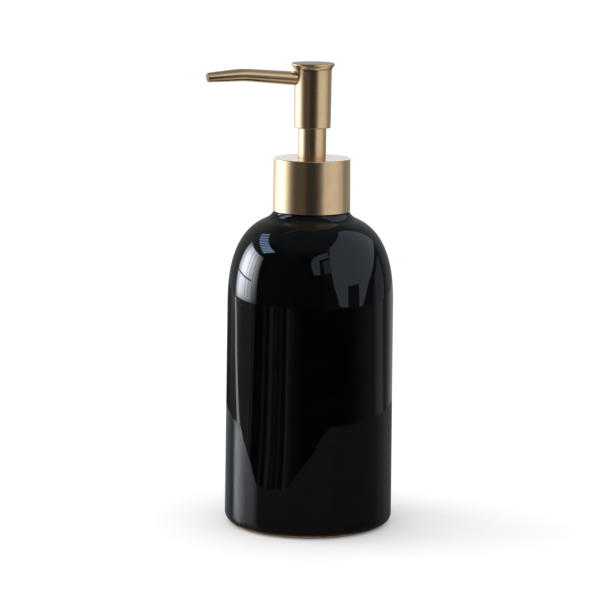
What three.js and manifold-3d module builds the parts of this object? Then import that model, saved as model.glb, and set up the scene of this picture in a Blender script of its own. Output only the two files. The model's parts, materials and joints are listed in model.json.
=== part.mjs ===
// Soap pump dispenser: a round glazed ceramic bottle with a satin gold lotion pump.
// Millimetres, +Z up. The origin is on the bottle's axis in the plane it stands on,
// and the spout points along -X, so the object is symmetric about the XZ plane.
import * as THREE from "three";
import { mergeVertices } from "three/addons/utils/BufferGeometryUtils.js";
import Module from "manifold-3d";

const wasm = await Module();
wasm.setup();

// ---------------------------------------------------------------------------
// Driving dimensions
// ---------------------------------------------------------------------------
const GAP = 0.3; // air between pieces that meet face to face

// Bottle
const BASE_RADIUS = 37.6; // widest, just above the base corner
const BODY_RADIUS = 37.04; // top of the straight side
const BODY_TOP_Z = 97.2; // where the shoulder starts
const BASE_FILLET = 3.9;
const FOOT_Z = 0.4; // the pad holds the bare foot ring this far off the table
const FLOOR_Z = 6; // inside floor
const SHOULDER_RISE = 42.15;
const SHOULDER_CORE_RADIUS = 7.08; // radius that the shoulder curve would close to
const SHOULDER_POWER = 2.632; // superellipse exponent
const SHOULDER_END_RADIUS = 21.5; // where the shoulder gives way to the neck's sweep
const SWEEP_CORNER = { radius: 17.87, z: 138.4 }; // control corner of the neck's sweep
const NECK_RADIUS = 15.8;
const NECK_LEDGE_RADIUS = 16.95; // ledge under the collar's lower edge
const NECK_LEDGE_Z = 140.7;
const RIM_Z = 141.7; // top of the ceramic
const MOUTH_RADIUS = 13.2;
const INNER_RADIUS = 33.2;
const INNER_SHOULDER_RISE = 38.5;
const PAD_RADIUS = 30;
const PAD_HEIGHT = 1.6;

// Screw neck, a 28 mm finish
const NECK_BORE = 11.9;
const THREAD_ROOT = 13.0;
const THREAD_CREST = 13.7;
const THREAD_PITCH = 4.23; // 6 turns per inch
const NECK_TOP_Z = 157.7;
const CLOSURE_BASE_Z = 143.9;
const CLOSURE_HEIGHT = 19.5;

// Collar and closure
const COLLAR_BASE_Z = 141.0;
const COLLAR_HEIGHT = 23.6;
const COLLAR_BASE_RADIUS = 17.25;
const COLLAR_TOP_RADIUS = 17.0;
const COLLAR_WALL = 0.85;
const COLLAR_TOP_Z = COLLAR_BASE_Z + COLLAR_HEIGHT;
const STEM_HOLE = 6.5; // hole in the collar's top
const GASKET = { inner: 8.2, outer: 13.2, top: 159.1 };

// Pump
const FLANGE_TOP_Z = 160.9;
const HOUSING_WIDE = { inner: 6.5, outer: 7.2 };
const HOUSING_NARROW = { inner: 5.2, outer: 6.1, bottom: 106 };
const GUIDE_SEAT_Z = 143.0; // step in the housing that the stem guide rests on
const GUIDE = { inner: 4.3, top: 147 };
const CHAMBER_FLOOR_Z = 107.2;
const BALL_RADIUS = 2.4;
const BALL_Z = 106.66; // centre of the ball on its seat
const DIP_TUBE = { inner: 2.1, outer: 2.9, bottom: 10, top: 102.7 };
const SPRING = { wire: 0.4, radius: 3.9, bottom: 111.7, top: 133.0, turns: 8 };
const SPRING_CLOSED_GAP = 0.15; // air between the closed end turns
const ROD_PIN_LENGTH = 5; // guide pin inside the spring
const ROD_FLANGE_HEIGHT = 1;

// Plunger and head
const STEM_FOOT_Z = 141.2;
const STEM_BORE = 2.5;
const SLEEVE = { inner: 5.7, outer: 6.2, bottom: 160.3, top: 180.0 };
const HEAD_BASE_Z = 177.9;
const HEAD_TOP_Z = 206.5; // overall height
const HEAD_BASE_RADIUS = 8.1;
const HEAD_NECK_RADIUS = 8.27; // just under the flare
const HEAD_RIM_RADIUS = 9.63; // widest point of the flared top
const HEAD_BORE = 7.3;
const CORE_RADIUS = HEAD_BORE - GAP;
const CAP_DISC = { radius: 8.5, height: 1.2 };
const CAP_BOSS_HEIGHT = 1.6;
const CAP_Z = HEAD_TOP_Z - CAP_DISC.height - CAP_BOSS_HEIGHT;

// Spout: distances are from the bottle's axis towards -X
const SPOUT_AXIS_Z = 199.15; // height of the spout's centre line on the bottle's axis
const SPOUT_RISE = 0.0763; // slope of the straight stretch
const SPOUT_DROP = 0.0686; // slope of the tip, downwards
const SPOUT_BEND = { start: 28, corner: 31.6, end: 35.3 };
const SPOUT_REACH = 47.8;
const SPOUT_ROOT = { distance: 5.3, radius: 3.1 };
const SPOUT_WALL = 0.6;
const SPOUT_FIT = 0.2; // clearance in the head's holes
const SPOUT_TAPER = 1.4; // exponent of the quicker taper near the tip
const LINER = { inner: 0.75, outer: 1.15, start: 3, end: 47 };

// Sides of the round pieces
const BIG = 48;
const MIDDLE = 36;
const SMALL = 24;
const DIP_TUBE_SIDES = 20;
const BALL_SIDES = { around: 16, upward: 12 };
const SPOUT_SIDES = 16;
const LINER_SIDES = 10;

// ---------------------------------------------------------------------------
// Materials
// ---------------------------------------------------------------------------
function material(color, roughness, metalness = 0) {
  return new THREE.MeshStandardMaterial({ color, roughness, metalness });
}

const blackGlaze = () => material(0x0b0c0e, 0.08);
const satinGold = () => material(0xc9a882, 0.32, 1);
const whitePlastic = () => material(0xe9e8e4, 0.45);
const naturalPlastic = () => material(0xd8dad6, 0.35);
const steel = () => material(0xb9bcc0, 0.25, 1);
const greyRubber = () => material(0x4a4b4d, 0.85);

// ---------------------------------------------------------------------------
// Geometry helpers
// ---------------------------------------------------------------------------
const point = (x, y) => new THREE.Vector2(x, y);

// A solid turned about +Z from [radius, height] points, in order up the outside.
function turned(profile, sides) {
  const points = profile.map(([radius, height]) => point(radius, height));
  return new THREE.LatheGeometry(points, sides).rotateX(Math.PI / 2);
}

// The same for a ring: its profile closes on its own first point.
function ring(profile, sides) {
  return turned([...profile, profile[0]], sides);
}

// Points of an arc in a profile, with angles in degrees from the outward direction.
function arc(radius, height, size, from, to, steps) {
  return Array.from({ length: steps + 1 }, (_, i) => {
    const angle = THREE.MathUtils.degToRad(from + ((to - from) * i) / steps);
    return [radius + size * Math.cos(angle), height + size * Math.sin(angle)];
  });
}

function toSolid(geometry) {
  const bare = geometry.clone();
  bare.deleteAttribute("normal");
  bare.deleteAttribute("uv");
  const merged = mergeVertices(bare, 1e-4);
  const mesh = new wasm.Mesh({
    numProp: 3,
    vertProperties: merged.attributes.position.array,
    triVerts: new Uint32Array(merged.index.array),
  });
  return new wasm.Manifold(mesh);
}

function toGeometry(solid) {
  const { vertProperties, triVerts } = solid.getMesh();
  const geometry = new THREE.BufferGeometry();
  geometry.setAttribute("position", new THREE.BufferAttribute(vertProperties, 3));
  geometry.setIndex(new THREE.BufferAttribute(triVerts, 1));
  geometry.computeVertexNormals();
  return geometry;
}

const cut = (geometry, ...tools) =>
  toGeometry(tools.reduce((solid, tool) => solid.subtract(toSolid(tool)), toSolid(geometry)));

const join = (geometry, ...others) =>
  toGeometry(others.reduce((solid, other) => solid.add(toSolid(other)), toSolid(geometry)));

// Moves every vertex through a function that changes the vector it is given.
function warp(geometry, place) {
  const position = geometry.attributes.position;
  const vertex = new THREE.Vector3();
  for (let i = 0; i < position.count; i += 1) {
    place(vertex.fromBufferAttribute(position, i));
    position.setXYZ(i, vertex.x, vertex.y, vertex.z);
  }
  return geometry;
}

// A right-hand thread ridge about +Z, which fades out at both ends. Its foot is at
// radius foot, its crest at radius crest, and it starts at height 0.
function threadRidge({ foot, crest, turns, footWidth, crestWidth }) {
  const section = new THREE.Shape([
    point(foot, -footWidth / 2),
    point(crest, -crestWidth / 2),
    point(crest, crestWidth / 2),
    point(foot, footWidth / 2),
  ]);
  const stepsPerTurn = 20;
  const fadeShare = 0.12; // share of the length that fades at each end
  const endHeight = 0.1; // share of the full section left at the very ends
  const endWidth = 0.4;
  const prism = new THREE.ExtrudeGeometry(section, {
    depth: 1,
    steps: Math.round(turns * stepsPerTurn),
    bevelEnabled: false,
  });
  return warp(prism, (v) => {
    const along = 1 - v.z;
    const fade = Math.min(1, endHeight + Math.min(v.z, along) / fadeShare);
    const radius = foot + (v.x - foot) * fade;
    const angle = 2 * Math.PI * turns * along;
    v.set(
      radius * Math.cos(angle),
      radius * Math.sin(angle),
      v.y * (endWidth + (1 - endWidth) * fade) + THREAD_PITCH * turns * along,
    );
  });
}

function named(name, geometry, finish, z = 0) {
  const mesh = new THREE.Mesh(geometry, finish);
  mesh.name = name;
  mesh.position.z = z;
  return mesh;
}

// ---------------------------------------------------------------------------
// Bottle
// ---------------------------------------------------------------------------

// Points of a shoulder: a superellipse quarter from its widest radius up and inwards.
function shoulder({ core, width, rise, until, steps }) {
  const last = Math.acos(((until - core) / width) ** (SHOULDER_POWER / 2));
  return Array.from({ length: steps + 1 }, (_, i) => {
    const angle = (last * i) / steps;
    return [
      core + width * Math.cos(angle) ** (2 / SHOULDER_POWER),
      BODY_TOP_Z + rise * Math.sin(angle) ** (2 / SHOULDER_POWER),
    ];
  });
}

// The hollow curve that leads from the shoulder up to the neck's ledge.
function neckSweep(from, steps) {
  const curve = new THREE.QuadraticBezierCurve(
    point(...from),
    point(SWEEP_CORNER.radius, SWEEP_CORNER.z),
    point(NECK_LEDGE_RADIUS, NECK_LEDGE_Z),
  );
  return curve.getPoints(steps).map((p) => [p.x, p.y]);
}

function bottleGeometry() {
  const recessRadius = PAD_RADIUS + GAP;
  const recessZ = PAD_HEIGHT + GAP;
  const outside = shoulder({
    core: SHOULDER_CORE_RADIUS,
    width: BODY_RADIUS - SHOULDER_CORE_RADIUS,
    rise: SHOULDER_RISE,
    until: SHOULDER_END_RADIUS,
    steps: 11,
  });
  const inside = shoulder({
    core: MOUTH_RADIUS,
    width: INNER_RADIUS - MOUTH_RADIUS,
    rise: INNER_SHOULDER_RISE,
    until: MOUTH_RADIUS,
    steps: 7,
  });
  const innerFillet = 4;
  const sweep = neckSweep(outside.at(-1), 4);
  return turned(
    [
      [0, recessZ],
      [recessRadius, recessZ],
      [recessRadius, FOOT_Z],
      ...arc(BASE_RADIUS - BASE_FILLET, FOOT_Z + BASE_FILLET, BASE_FILLET, -90, 0, 4),
      ...outside,
      ...sweep.slice(1),
      [NECK_RADIUS, NECK_LEDGE_Z],
      [NECK_RADIUS, RIM_Z],
      [MOUTH_RADIUS, RIM_Z],
      ...inside.reverse(),
      ...arc(INNER_RADIUS - innerFillet, FLOOR_Z + innerFillet, innerFillet, 0, -90, 2),
      [0, FLOOR_Z],
    ],
    BIG,
  );
}

function padGeometry() {
  const edge = 0.3;
  return turned(
    [
      [0, 0],
      [PAD_RADIUS - edge, 0],
      [PAD_RADIUS, edge],
      [PAD_RADIUS, PAD_HEIGHT],
      [0, PAD_HEIGHT],
    ],
    MIDDLE,
  );
}

// Plastic neck glued into the ceramic mouth: plug below, flange on the rim, thread above.
function neckInsertGeometry() {
  const plugRadius = MOUTH_RADIUS - GAP;
  const plugDepth = 10.5;
  const flangeRadius = 15.5;
  const flangeHeight = 1.5;
  const ridgeStart = 4.6;
  const sunk = 0.4; // depth of the ridge's foot inside the wall
  const top = NECK_TOP_Z - RIM_Z - GAP;
  const tube = ring(
    [
      [NECK_BORE, -plugDepth],
      [plugRadius, -plugDepth],
      [plugRadius, 0],
      [flangeRadius, 0],
      [flangeRadius, flangeHeight],
      [THREAD_ROOT, flangeHeight],
      [THREAD_ROOT, top],
      [NECK_BORE, top],
    ],
    MIDDLE,
  );
  const ridge = threadRidge({
    foot: THREAD_ROOT - sunk,
    crest: THREAD_CREST,
    turns: 1.75,
    footWidth: 2.4,
    crestWidth: 0.9,
  });
  return join(tube, ridge.translate(0, 0, ridgeStart));
}

// ---------------------------------------------------------------------------
// Closure and collar
// ---------------------------------------------------------------------------

// Threaded plastic cap inside the collar. The thread is a groove outside the bore, so the
// cap also lifts straight off the neck.
function closureGeometry() {
  const bore = THREAD_CREST + GAP;
  const outer = COLLAR_TOP_RADIUS - COLLAR_WALL - GAP;
  const topWall = 2.2;
  const holeRadius = STEM_HOLE + 0.2;
  const grooveStart = 3.4;
  const grooveDepth = 0.8;
  const overcut = 0.5; // how far the cutter reaches into the open bore
  const cap = ring(
    [
      [bore, 0],
      [outer, 0],
      [outer, CLOSURE_HEIGHT],
      [holeRadius, CLOSURE_HEIGHT],
      [holeRadius, CLOSURE_HEIGHT - topWall],
      [bore, CLOSURE_HEIGHT - topWall],
    ],
    MIDDLE,
  );
  const groove = threadRidge({
    foot: bore - overcut,
    crest: bore + grooveDepth,
    turns: 2,
    footWidth: 2.6,
    crestWidth: 1.2,
  });
  return cut(cap, groove.translate(0, 0, grooveStart));
}

// Drawn metal shell over the closure, with a flat top and a hole for the stem.
function collarGeometry() {
  const edge = 0.35;
  const topWall = 0.9;
  const inner = COLLAR_TOP_RADIUS - COLLAR_WALL;
  return ring(
    [
      [inner, 0],
      [COLLAR_BASE_RADIUS - edge / 2, 0],
      [COLLAR_BASE_RADIUS, edge / 2],
      ...arc(COLLAR_TOP_RADIUS - edge, COLLAR_HEIGHT - edge, edge, 0, 90, 2),
      [STEM_HOLE, COLLAR_HEIGHT],
      [STEM_HOLE, COLLAR_HEIGHT - topWall],
      [inner, COLLAR_HEIGHT - topWall],
    ],
    MIDDLE,
  );
}

// ---------------------------------------------------------------------------
// Pump
// ---------------------------------------------------------------------------

// Pump cylinder: a flange that sits on the neck, a wide upper bore that the sleeve sinks
// into, the narrow chamber, the ball's conical seat and the socket for the dip tube.
function housingGeometry() {
  const flange = { radius: 12.4, height: 1.5 };
  const flangeBottom = FLANGE_TOP_Z - flange.height;
  const socket = { inner: DIP_TUBE.outer + GAP, outer: 4.2, bottom: 96, over: 0.5 };
  const seat = { wide: 3.0, narrow: 1.6, bottom: 104.4, drop: 0.2 };
  const cone = { start: 2.4, end: 1.1 }; // below the guide's seat, outside
  return ring(
    [
      [socket.inner, socket.bottom],
      [socket.outer, socket.bottom],
      [socket.outer, DIP_TUBE.top + socket.over],
      [HOUSING_NARROW.outer, HOUSING_NARROW.bottom],
      [HOUSING_NARROW.outer, GUIDE_SEAT_Z - cone.start],
      [HOUSING_WIDE.outer, GUIDE_SEAT_Z - cone.end],
      [HOUSING_WIDE.outer, flangeBottom],
      [flange.radius, flangeBottom],
      [flange.radius, FLANGE_TOP_Z],
      [HOUSING_WIDE.inner, FLANGE_TOP_Z],
      [HOUSING_WIDE.inner, GUIDE_SEAT_Z],
      [HOUSING_NARROW.inner, GUIDE_SEAT_Z],
      [HOUSING_NARROW.inner, CHAMBER_FLOOR_Z],
      [seat.wide, CHAMBER_FLOOR_Z - seat.drop],
      [seat.narrow, seat.bottom],
      [seat.narrow, DIP_TUBE.top + GAP],
      [socket.inner, DIP_TUBE.top + GAP],
    ],
    SMALL,
  );
}

function tubeGeometry({ inner, outer, bottom, top }, sides) {
  return ring(
    [
      [inner, bottom],
      [outer, bottom],
      [outer, top],
      [inner, top],
    ],
    sides,
  );
}

// Guide ring for the stem, snapped into the top of the housing.
const stemGuideGeometry = () =>
  tubeGeometry(
    { ...GUIDE, outer: HOUSING_WIDE.inner - GAP, bottom: GUIDE_SEAT_Z + GAP },
    SMALL,
  );

const gasketGeometry = () => tubeGeometry({ ...GASKET, bottom: NECK_TOP_Z + GAP }, SMALL);

// Cage that keeps the inlet ball near its seat and carries the return spring: a ring with
// a cross of two bars above the ball.
function ballCageGeometry() {
  const rim = { inner: 3.4, outer: HOUSING_NARROW.inner - GAP };
  const height = SPRING.bottom - CHAMBER_FLOOR_Z - 2 * GAP;
  const bar = { width: 1.2, height: 1.0, length: rim.inner * 2 + 1 };
  const body = tubeGeometry({ ...rim, bottom: 0, top: height }, SMALL);
  const bars = [0, Math.PI / 2].map((turn) =>
    new THREE.BoxGeometry(bar.length, bar.width, bar.height)
      .translate(0, 0, height - bar.height / 2)
      .rotateZ(turn),
  );
  return join(body, ...bars);
}

// Centre line of the return spring, with one closed turn at each end.
class SpringCurve extends THREE.Curve {
  getPoint(t, target = new THREE.Vector3()) {
    const { turns, radius, wire } = SPRING;
    const length = SPRING.top - SPRING.bottom - 2 * wire;
    const closedPitch = 2 * wire + SPRING_CLOSED_GAP;
    const turn = t * turns;
    const openPitch = (length - 2 * closedPitch) / (turns - 2);
    const open = THREE.MathUtils.clamp(turn - 1, 0, turns - 2);
    const closed = turn - open;
    const angle = 2 * Math.PI * turn;
    return target.set(
      radius * Math.cos(angle),
      radius * Math.sin(angle),
      wire + closedPitch * closed + openPitch * open,
    );
  }
}

function springGeometry() {
  const wireSides = 6;
  const stepsPerTurn = 10;
  const corners = Array.from({ length: wireSides }, (_, i) => {
    const angle = (2 * Math.PI * i) / wireSides;
    return point(SPRING.wire * Math.cos(angle), SPRING.wire * Math.sin(angle));
  });
  return new THREE.ExtrudeGeometry(new THREE.Shape(corners), {
    extrudePath: new SpringCurve(),
    steps: SPRING.turns * stepsPerTurn,
    bevelEnabled: false,
  });
}

// ---------------------------------------------------------------------------
// Plunger
// ---------------------------------------------------------------------------

// Rod that pushes the spring: guide pin, spring flange, and a core inside the stem.
function pistonRodGeometry() {
  const pinRadius = 1.9;
  const pinTip = 0.5;
  const flangeRadius = 4.6;
  const flangeTop = ROD_PIN_LENGTH + ROD_FLANGE_HEIGHT;
  const coreRadius = 2.1;
  const length = 18;
  return turned(
    [
      [0, 0],
      [pinRadius - pinTip, 0],
      [pinRadius, pinTip],
      [pinRadius, ROD_PIN_LENGTH],
      [flangeRadius, ROD_PIN_LENGTH],
      [flangeRadius, flangeTop],
      [coreRadius, flangeTop],
      [coreRadius, length],
      [0, length],
    ],
    SMALL,
  );
}

// Soft piston with two lips, free to slide a little along the rod.
function pistonGeometry() {
  const bore = 2.4;
  const wallGap = 0.2;
  const lip = HOUSING_NARROW.inner - wallGap;
  const edge = 0.3;
  const skirt = 1.7; // height of each flared lip
  const waist = 4.1;
  const height = 5;
  return ring(
    [
      [bore, 0],
      [lip - edge, 0],
      [lip, edge],
      [waist, skirt],
      [waist, height - skirt],
      [lip, height - edge],
      [lip - edge, height],
      [bore, height],
    ],
    SMALL,
  );
}

// Hollow stem: a foot that stops under the guide, a slim length that slides through the
// guide, a thick length that carries the metal sleeve, and a spigot for the head.
function stemGeometry() {
  const foot = { radius: 4.8, height: 1.5 };
  const slim = 4.0;
  const thick = SLEEVE.inner - GAP;
  const thickBottom = SLEEVE.bottom - STEM_FOOT_Z;
  const thickTop = SLEEVE.top - STEM_FOOT_Z;
  const spigotLength = 7;
  const top = thickTop + spigotLength;
  return ring(
    [
      [STEM_BORE, 0],
      [foot.radius, 0],
      [foot.radius, foot.height],
      [slim, foot.height],
      [slim, thickBottom],
      [thick, thickBottom],
      [thick, thickTop],
      [slim, thickTop],
      [slim, top],
      [STEM_BORE, top],
    ],
    SMALL,
  );
}

// ---------------------------------------------------------------------------
// Head
// ---------------------------------------------------------------------------

const spoutHeight = (distance) => SPOUT_AXIS_Z + SPOUT_RISE * distance;

// The spout's centre line between two distances from the axis: straight, bent, straight.
function spoutPath(from, to) {
  const corner = SPOUT_BEND.corner;
  const along = (distance) =>
    new THREE.Vector3(
      -distance,
      0,
      distance <= corner
        ? spoutHeight(distance)
        : spoutHeight(corner) - SPOUT_DROP * (distance - corner),
    );
  const path = new THREE.CurvePath();
  path.add(new THREE.LineCurve3(along(from), along(SPOUT_BEND.start)));
  path.add(
    new THREE.QuadraticBezierCurve3(
      along(SPOUT_BEND.start),
      along(corner),
      along(SPOUT_BEND.end),
    ),
  );
  path.add(new THREE.LineCurve3(along(SPOUT_BEND.end), along(to)));
  return path;
}

// Outer radius of the spout: a slow taper, then a quicker one towards the tip.
function spoutRadius(distance) {
  const slowEnd = 33;
  const slowRadius = 2.76;
  const tipRadius = 2.1;
  if (distance <= slowEnd) {
    const share = (slowEnd - distance) / (slowEnd - SPOUT_ROOT.distance);
    return slowRadius + (SPOUT_ROOT.radius - slowRadius) * share;
  }
  const share = (distance - slowEnd) / (SPOUT_REACH - slowEnd);
  return slowRadius - (slowRadius - tipRadius) * share ** SPOUT_TAPER;
}

// A ring whose profile heights run along a path instead of along the axis.
function bentRing(profile, path, sides) {
  const length = path.getLength();
  const tube = new THREE.LatheGeometry(
    [...profile, profile[0]].map(([radius, height]) => point(radius, height)),
    sides,
  );
  const across = new THREE.Vector3(0, 1, 0);
  return warp(tube, (v) => {
    const share = THREE.MathUtils.clamp(v.y / length, 0, 1);
    const tangent = path.getTangent(share);
    const side = new THREE.Vector3().crossVectors(tangent, across);
    const centre = path.getPoint(share);
    v.set(centre.x + side.x * v.x, v.z, centre.z + side.z * v.x);
  });
}

function spoutTubeGeometry() {
  const path = spoutPath(SPOUT_ROOT.distance, SPOUT_REACH);
  const length = path.getLength();
  const stations = 16;
  const edge = 0.2;
  const outer = [];
  const inner = [];
  for (let i = 0; i <= stations; i += 1) {
    const share = i / stations;
    const distance = THREE.MathUtils.lerp(SPOUT_ROOT.distance, SPOUT_REACH, share);
    const radius = spoutRadius(distance);
    const last = i === stations;
    outer.push([radius, length * share - (last ? edge : 0)]);
    if (i % 2 === 0) inner.unshift([radius - SPOUT_WALL, length * share]);
  }
  const tip = [spoutRadius(SPOUT_REACH) - edge, length];
  return bentRing([...outer, tip, ...inner], path, SPOUT_SIDES);
}

function spoutLinerGeometry() {
  const path = spoutPath(LINER.start, LINER.end);
  const length = path.getLength();
  const stations = 10;
  const heights = Array.from({ length: stations + 1 }, (_, i) => (length * i) / stations);
  return bentRing(
    [
      ...heights.map((height) => [LINER.outer, height]),
      ...heights.reverse().map((height) => [LINER.inner, height]),
    ],
    path,
    LINER_SIDES,
  );
}

// A round cutter along the spout's straight stretch, between two distances.
function spoutDrill(radius, from, to, sides) {
  const start = new THREE.Vector3(-from, 0, spoutHeight(from));
  const end = new THREE.Vector3(-to, 0, spoutHeight(to));
  const direction = new THREE.Vector3().subVectors(end, start);
  const turn = new THREE.Quaternion().setFromUnitVectors(
    new THREE.Vector3(0, 1, 0),
    direction.clone().normalize(),
  );
  const middle = start.add(end).multiplyScalar(0.5);
  return new THREE.CylinderGeometry(radius, radius, direction.length(), sides)
    .applyQuaternion(turn)
    .translate(middle.x, middle.y, middle.z);
}

// Plastic core inside the head: stem socket below, channel above, spout socket at the side.
function headCoreGeometry() {
  const bottom = SLEEVE.top + GAP;
  const socket = { radius: 4.3, top: 187.3 };
  const channel = { radius: 2.0, top: 201.0 };
  const top = CAP_Z - GAP;
  const core = turned(
    [
      [socket.radius, bottom],
      [CORE_RADIUS, bottom],
      [CORE_RADIUS, top],
      [0, top],
      [0, channel.top],
      [channel.radius, channel.top],
      [channel.radius, socket.top],
      [socket.radius, socket.top],
      [socket.radius, bottom],
    ],
    SMALL,
  );
  const outside = CORE_RADIUS + 2;
  return cut(
    core,
    spoutDrill(LINER.outer + GAP, 0, outside, LINER_SIDES),
    spoutDrill(SPOUT_ROOT.radius + SPOUT_FIT, SPOUT_ROOT.distance - GAP, outside, SPOUT_SIDES),
  );
}

// Metal shell of the head: a slightly tapered tube that flares to a rounded rim, with an
// inward lip below, a recess for the top disc and a hole for the spout.
function headShellGeometry() {
  const lip = { radius: STEM_HOLE + 0.1, height: 0.8 };
  const foot = 1.0;
  const rimRound = 0.68;
  const flare = { radius: 3.13, angle: 50, below: 3.6 };
  const rimCentre = [HEAD_RIM_RADIUS - rimRound, HEAD_TOP_Z - rimRound];
  const flareCentre = [HEAD_NECK_RADIUS + flare.radius, HEAD_TOP_Z - flare.below];
  const recess = { radius: CAP_DISC.radius + GAP, depth: CAP_DISC.height + GAP };
  const shell = ring(
    [
      [lip.radius, HEAD_BASE_Z],
      ...arc(HEAD_BASE_RADIUS - foot, HEAD_BASE_Z + foot, foot, -90, 0, 3),
      ...arc(...flareCentre, flare.radius, 180, 180 - flare.angle, 3),
      ...arc(...rimCentre, rimRound, -20, 90, 3),
      [recess.radius, HEAD_TOP_Z],
      [recess.radius, HEAD_TOP_Z - recess.depth],
      [HEAD_BORE, HEAD_TOP_Z - recess.depth],
      [HEAD_BORE, HEAD_BASE_Z + lip.height],
      [lip.radius, HEAD_BASE_Z + lip.height],
    ],
    MIDDLE,
  );
  const inside = CORE_RADIUS - 2;
  const outside = CORE_RADIUS + 4;
  return cut(shell, spoutDrill(SPOUT_ROOT.radius + SPOUT_FIT, inside, outside, SPOUT_SIDES));
}

// Disc that closes the head, with a boss that plugs the shell.
function headCapGeometry() {
  const edge = 0.1;
  const height = CAP_DISC.height + CAP_BOSS_HEIGHT;
  return turned(
    [
      [0, 0],
      [CORE_RADIUS - edge, 0],
      [CORE_RADIUS - edge, CAP_BOSS_HEIGHT],
      [CAP_DISC.radius, CAP_BOSS_HEIGHT],
      [CAP_DISC.radius, height - edge],
      [CAP_DISC.radius - edge, height],
      [0, height],
    ],
    MIDDLE,
  );
}

// ---------------------------------------------------------------------------
// Assembly
// ---------------------------------------------------------------------------
function bottleGroup() {
  const group = new THREE.Group();
  group.add(
    named("bottle", bottleGeometry(), blackGlaze()),
    named("base_pad", padGeometry(), greyRubber()),
    named("neck_insert", neckInsertGeometry(), whitePlastic(), RIM_Z + GAP),
  );
  return group;
}

function pumpGroup() {
  const group = new THREE.Group();
  const ball = new THREE.SphereGeometry(BALL_RADIUS, BALL_SIDES.around, BALL_SIDES.upward);
  group.add(
    named("closure", closureGeometry(), whitePlastic(), CLOSURE_BASE_Z),
    named("collar_shell", collarGeometry(), satinGold(), COLLAR_BASE_Z),
    named("neck_gasket", gasketGeometry(), greyRubber()),
    named("pump_housing", housingGeometry(), naturalPlastic()),
    named("stem_guide", stemGuideGeometry(), whitePlastic()),
    named("dip_tube", tubeGeometry(DIP_TUBE, DIP_TUBE_SIDES), naturalPlastic()),
    named("inlet_ball", ball, steel(), BALL_Z),
    named("ball_cage", ballCageGeometry(), whitePlastic(), CHAMBER_FLOOR_Z + GAP),
    named("return_spring", springGeometry(), steel(), SPRING.bottom),
  );
  return group;
}

function plungerGroup() {
  const group = new THREE.Group();
  const rodZ = SPRING.top + GAP - ROD_PIN_LENGTH;
  const pistonZ = SPRING.top + ROD_FLANGE_HEIGHT + 2 * GAP;
  group.add(
    named("piston_rod", pistonRodGeometry(), whitePlastic(), rodZ),
    named("piston", pistonGeometry(), naturalPlastic(), pistonZ),
    named("stem", stemGeometry(), whitePlastic(), STEM_FOOT_Z),
    named("stem_sleeve", tubeGeometry(SLEEVE, MIDDLE), satinGold()),
    named("head_core", headCoreGeometry(), whitePlastic()),
    named("head_shell", headShellGeometry(), satinGold()),
    named("head_cap", headCapGeometry(), satinGold(), CAP_Z),
    named("spout_tube", spoutTubeGeometry(), satinGold()),
    named("spout_liner", spoutLinerGeometry(), naturalPlastic()),
  );
  return group;
}

const dispenser = new THREE.Group();
dispenser.add(bottleGroup(), pumpGroup(), plungerGroup());

export default dispenser;
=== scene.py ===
"""Looks of a soap pump dispenser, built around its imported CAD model.

A round bottle in black glazed ceramic carries a satin gold lotion pump. Every CAD node gets
a fine piece of the same size: turned outlines with rounded edges, a bent and tapered spout,
a real thread and a coiled spring. Outlines are in millimetres and the stage in metres, both
in the CAD frame: +Z up, the spout along -X.
"""

import json
import math

import bmesh
import bpy
from mathutils import Matrix, Vector

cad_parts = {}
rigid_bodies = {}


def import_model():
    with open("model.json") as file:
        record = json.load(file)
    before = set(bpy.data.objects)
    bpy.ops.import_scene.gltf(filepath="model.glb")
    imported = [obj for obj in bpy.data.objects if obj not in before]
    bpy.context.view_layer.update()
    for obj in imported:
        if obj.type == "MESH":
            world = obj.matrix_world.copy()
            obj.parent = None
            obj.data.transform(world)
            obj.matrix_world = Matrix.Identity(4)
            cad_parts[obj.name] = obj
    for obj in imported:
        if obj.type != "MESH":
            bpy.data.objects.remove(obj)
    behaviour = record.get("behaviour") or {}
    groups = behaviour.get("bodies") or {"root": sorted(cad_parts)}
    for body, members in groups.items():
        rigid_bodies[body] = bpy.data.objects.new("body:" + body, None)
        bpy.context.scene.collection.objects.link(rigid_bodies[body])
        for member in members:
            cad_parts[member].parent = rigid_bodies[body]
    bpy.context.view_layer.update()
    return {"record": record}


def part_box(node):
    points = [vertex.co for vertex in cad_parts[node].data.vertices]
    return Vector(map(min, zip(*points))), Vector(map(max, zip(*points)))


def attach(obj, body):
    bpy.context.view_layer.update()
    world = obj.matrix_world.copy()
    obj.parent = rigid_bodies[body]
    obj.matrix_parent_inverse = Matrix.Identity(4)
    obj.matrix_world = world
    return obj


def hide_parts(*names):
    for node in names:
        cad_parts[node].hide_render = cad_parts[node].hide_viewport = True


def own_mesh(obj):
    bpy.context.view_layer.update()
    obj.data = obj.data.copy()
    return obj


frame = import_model()

MM = 0.001
TURN = 2 * math.pi


# --- Sizes in millimetres ---


def span(node):
    """Outer radius, lowest and highest height of a CAD node that is round about Z."""
    low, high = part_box(node)
    return high.y / MM, low.z / MM, high.z / MM


# Sides of the round pieces
LARGE = 192
MEDIUM = 128
SMALL = 72

GAP = 0.3  # air that the CAD leaves between pieces

# Bottle
BASE_RADIUS, FOOT_Z, RIM_Z = span("bottle")
BASE_FILLET = 3.9
BODY_RADIUS = 37.04
BODY_TOP_Z = 97.2
SHOULDER_RISE = 42.15
SHOULDER_CORE = 7.08
SHOULDER_POWER = 2.632
SWEEP_RADIUS = 21.5
SWEEP_CORNER = (17.87, 138.4)
LEDGE = (16.95, 140.7)
NECK_RADIUS = 15.8
MOUTH_RADIUS = 13.2
INNER_RADIUS = 33.2
INNER_RISE = 38.5
INNER_FILLET = 4.0
FLOOR_Z = 6.0

# Thread of the neck and the closure
THREAD_ROOT = 13.0
THREAD_CREST = 13.7
THREAD_PITCH = 4.23

STEM_HOLE = 6.5

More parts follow.
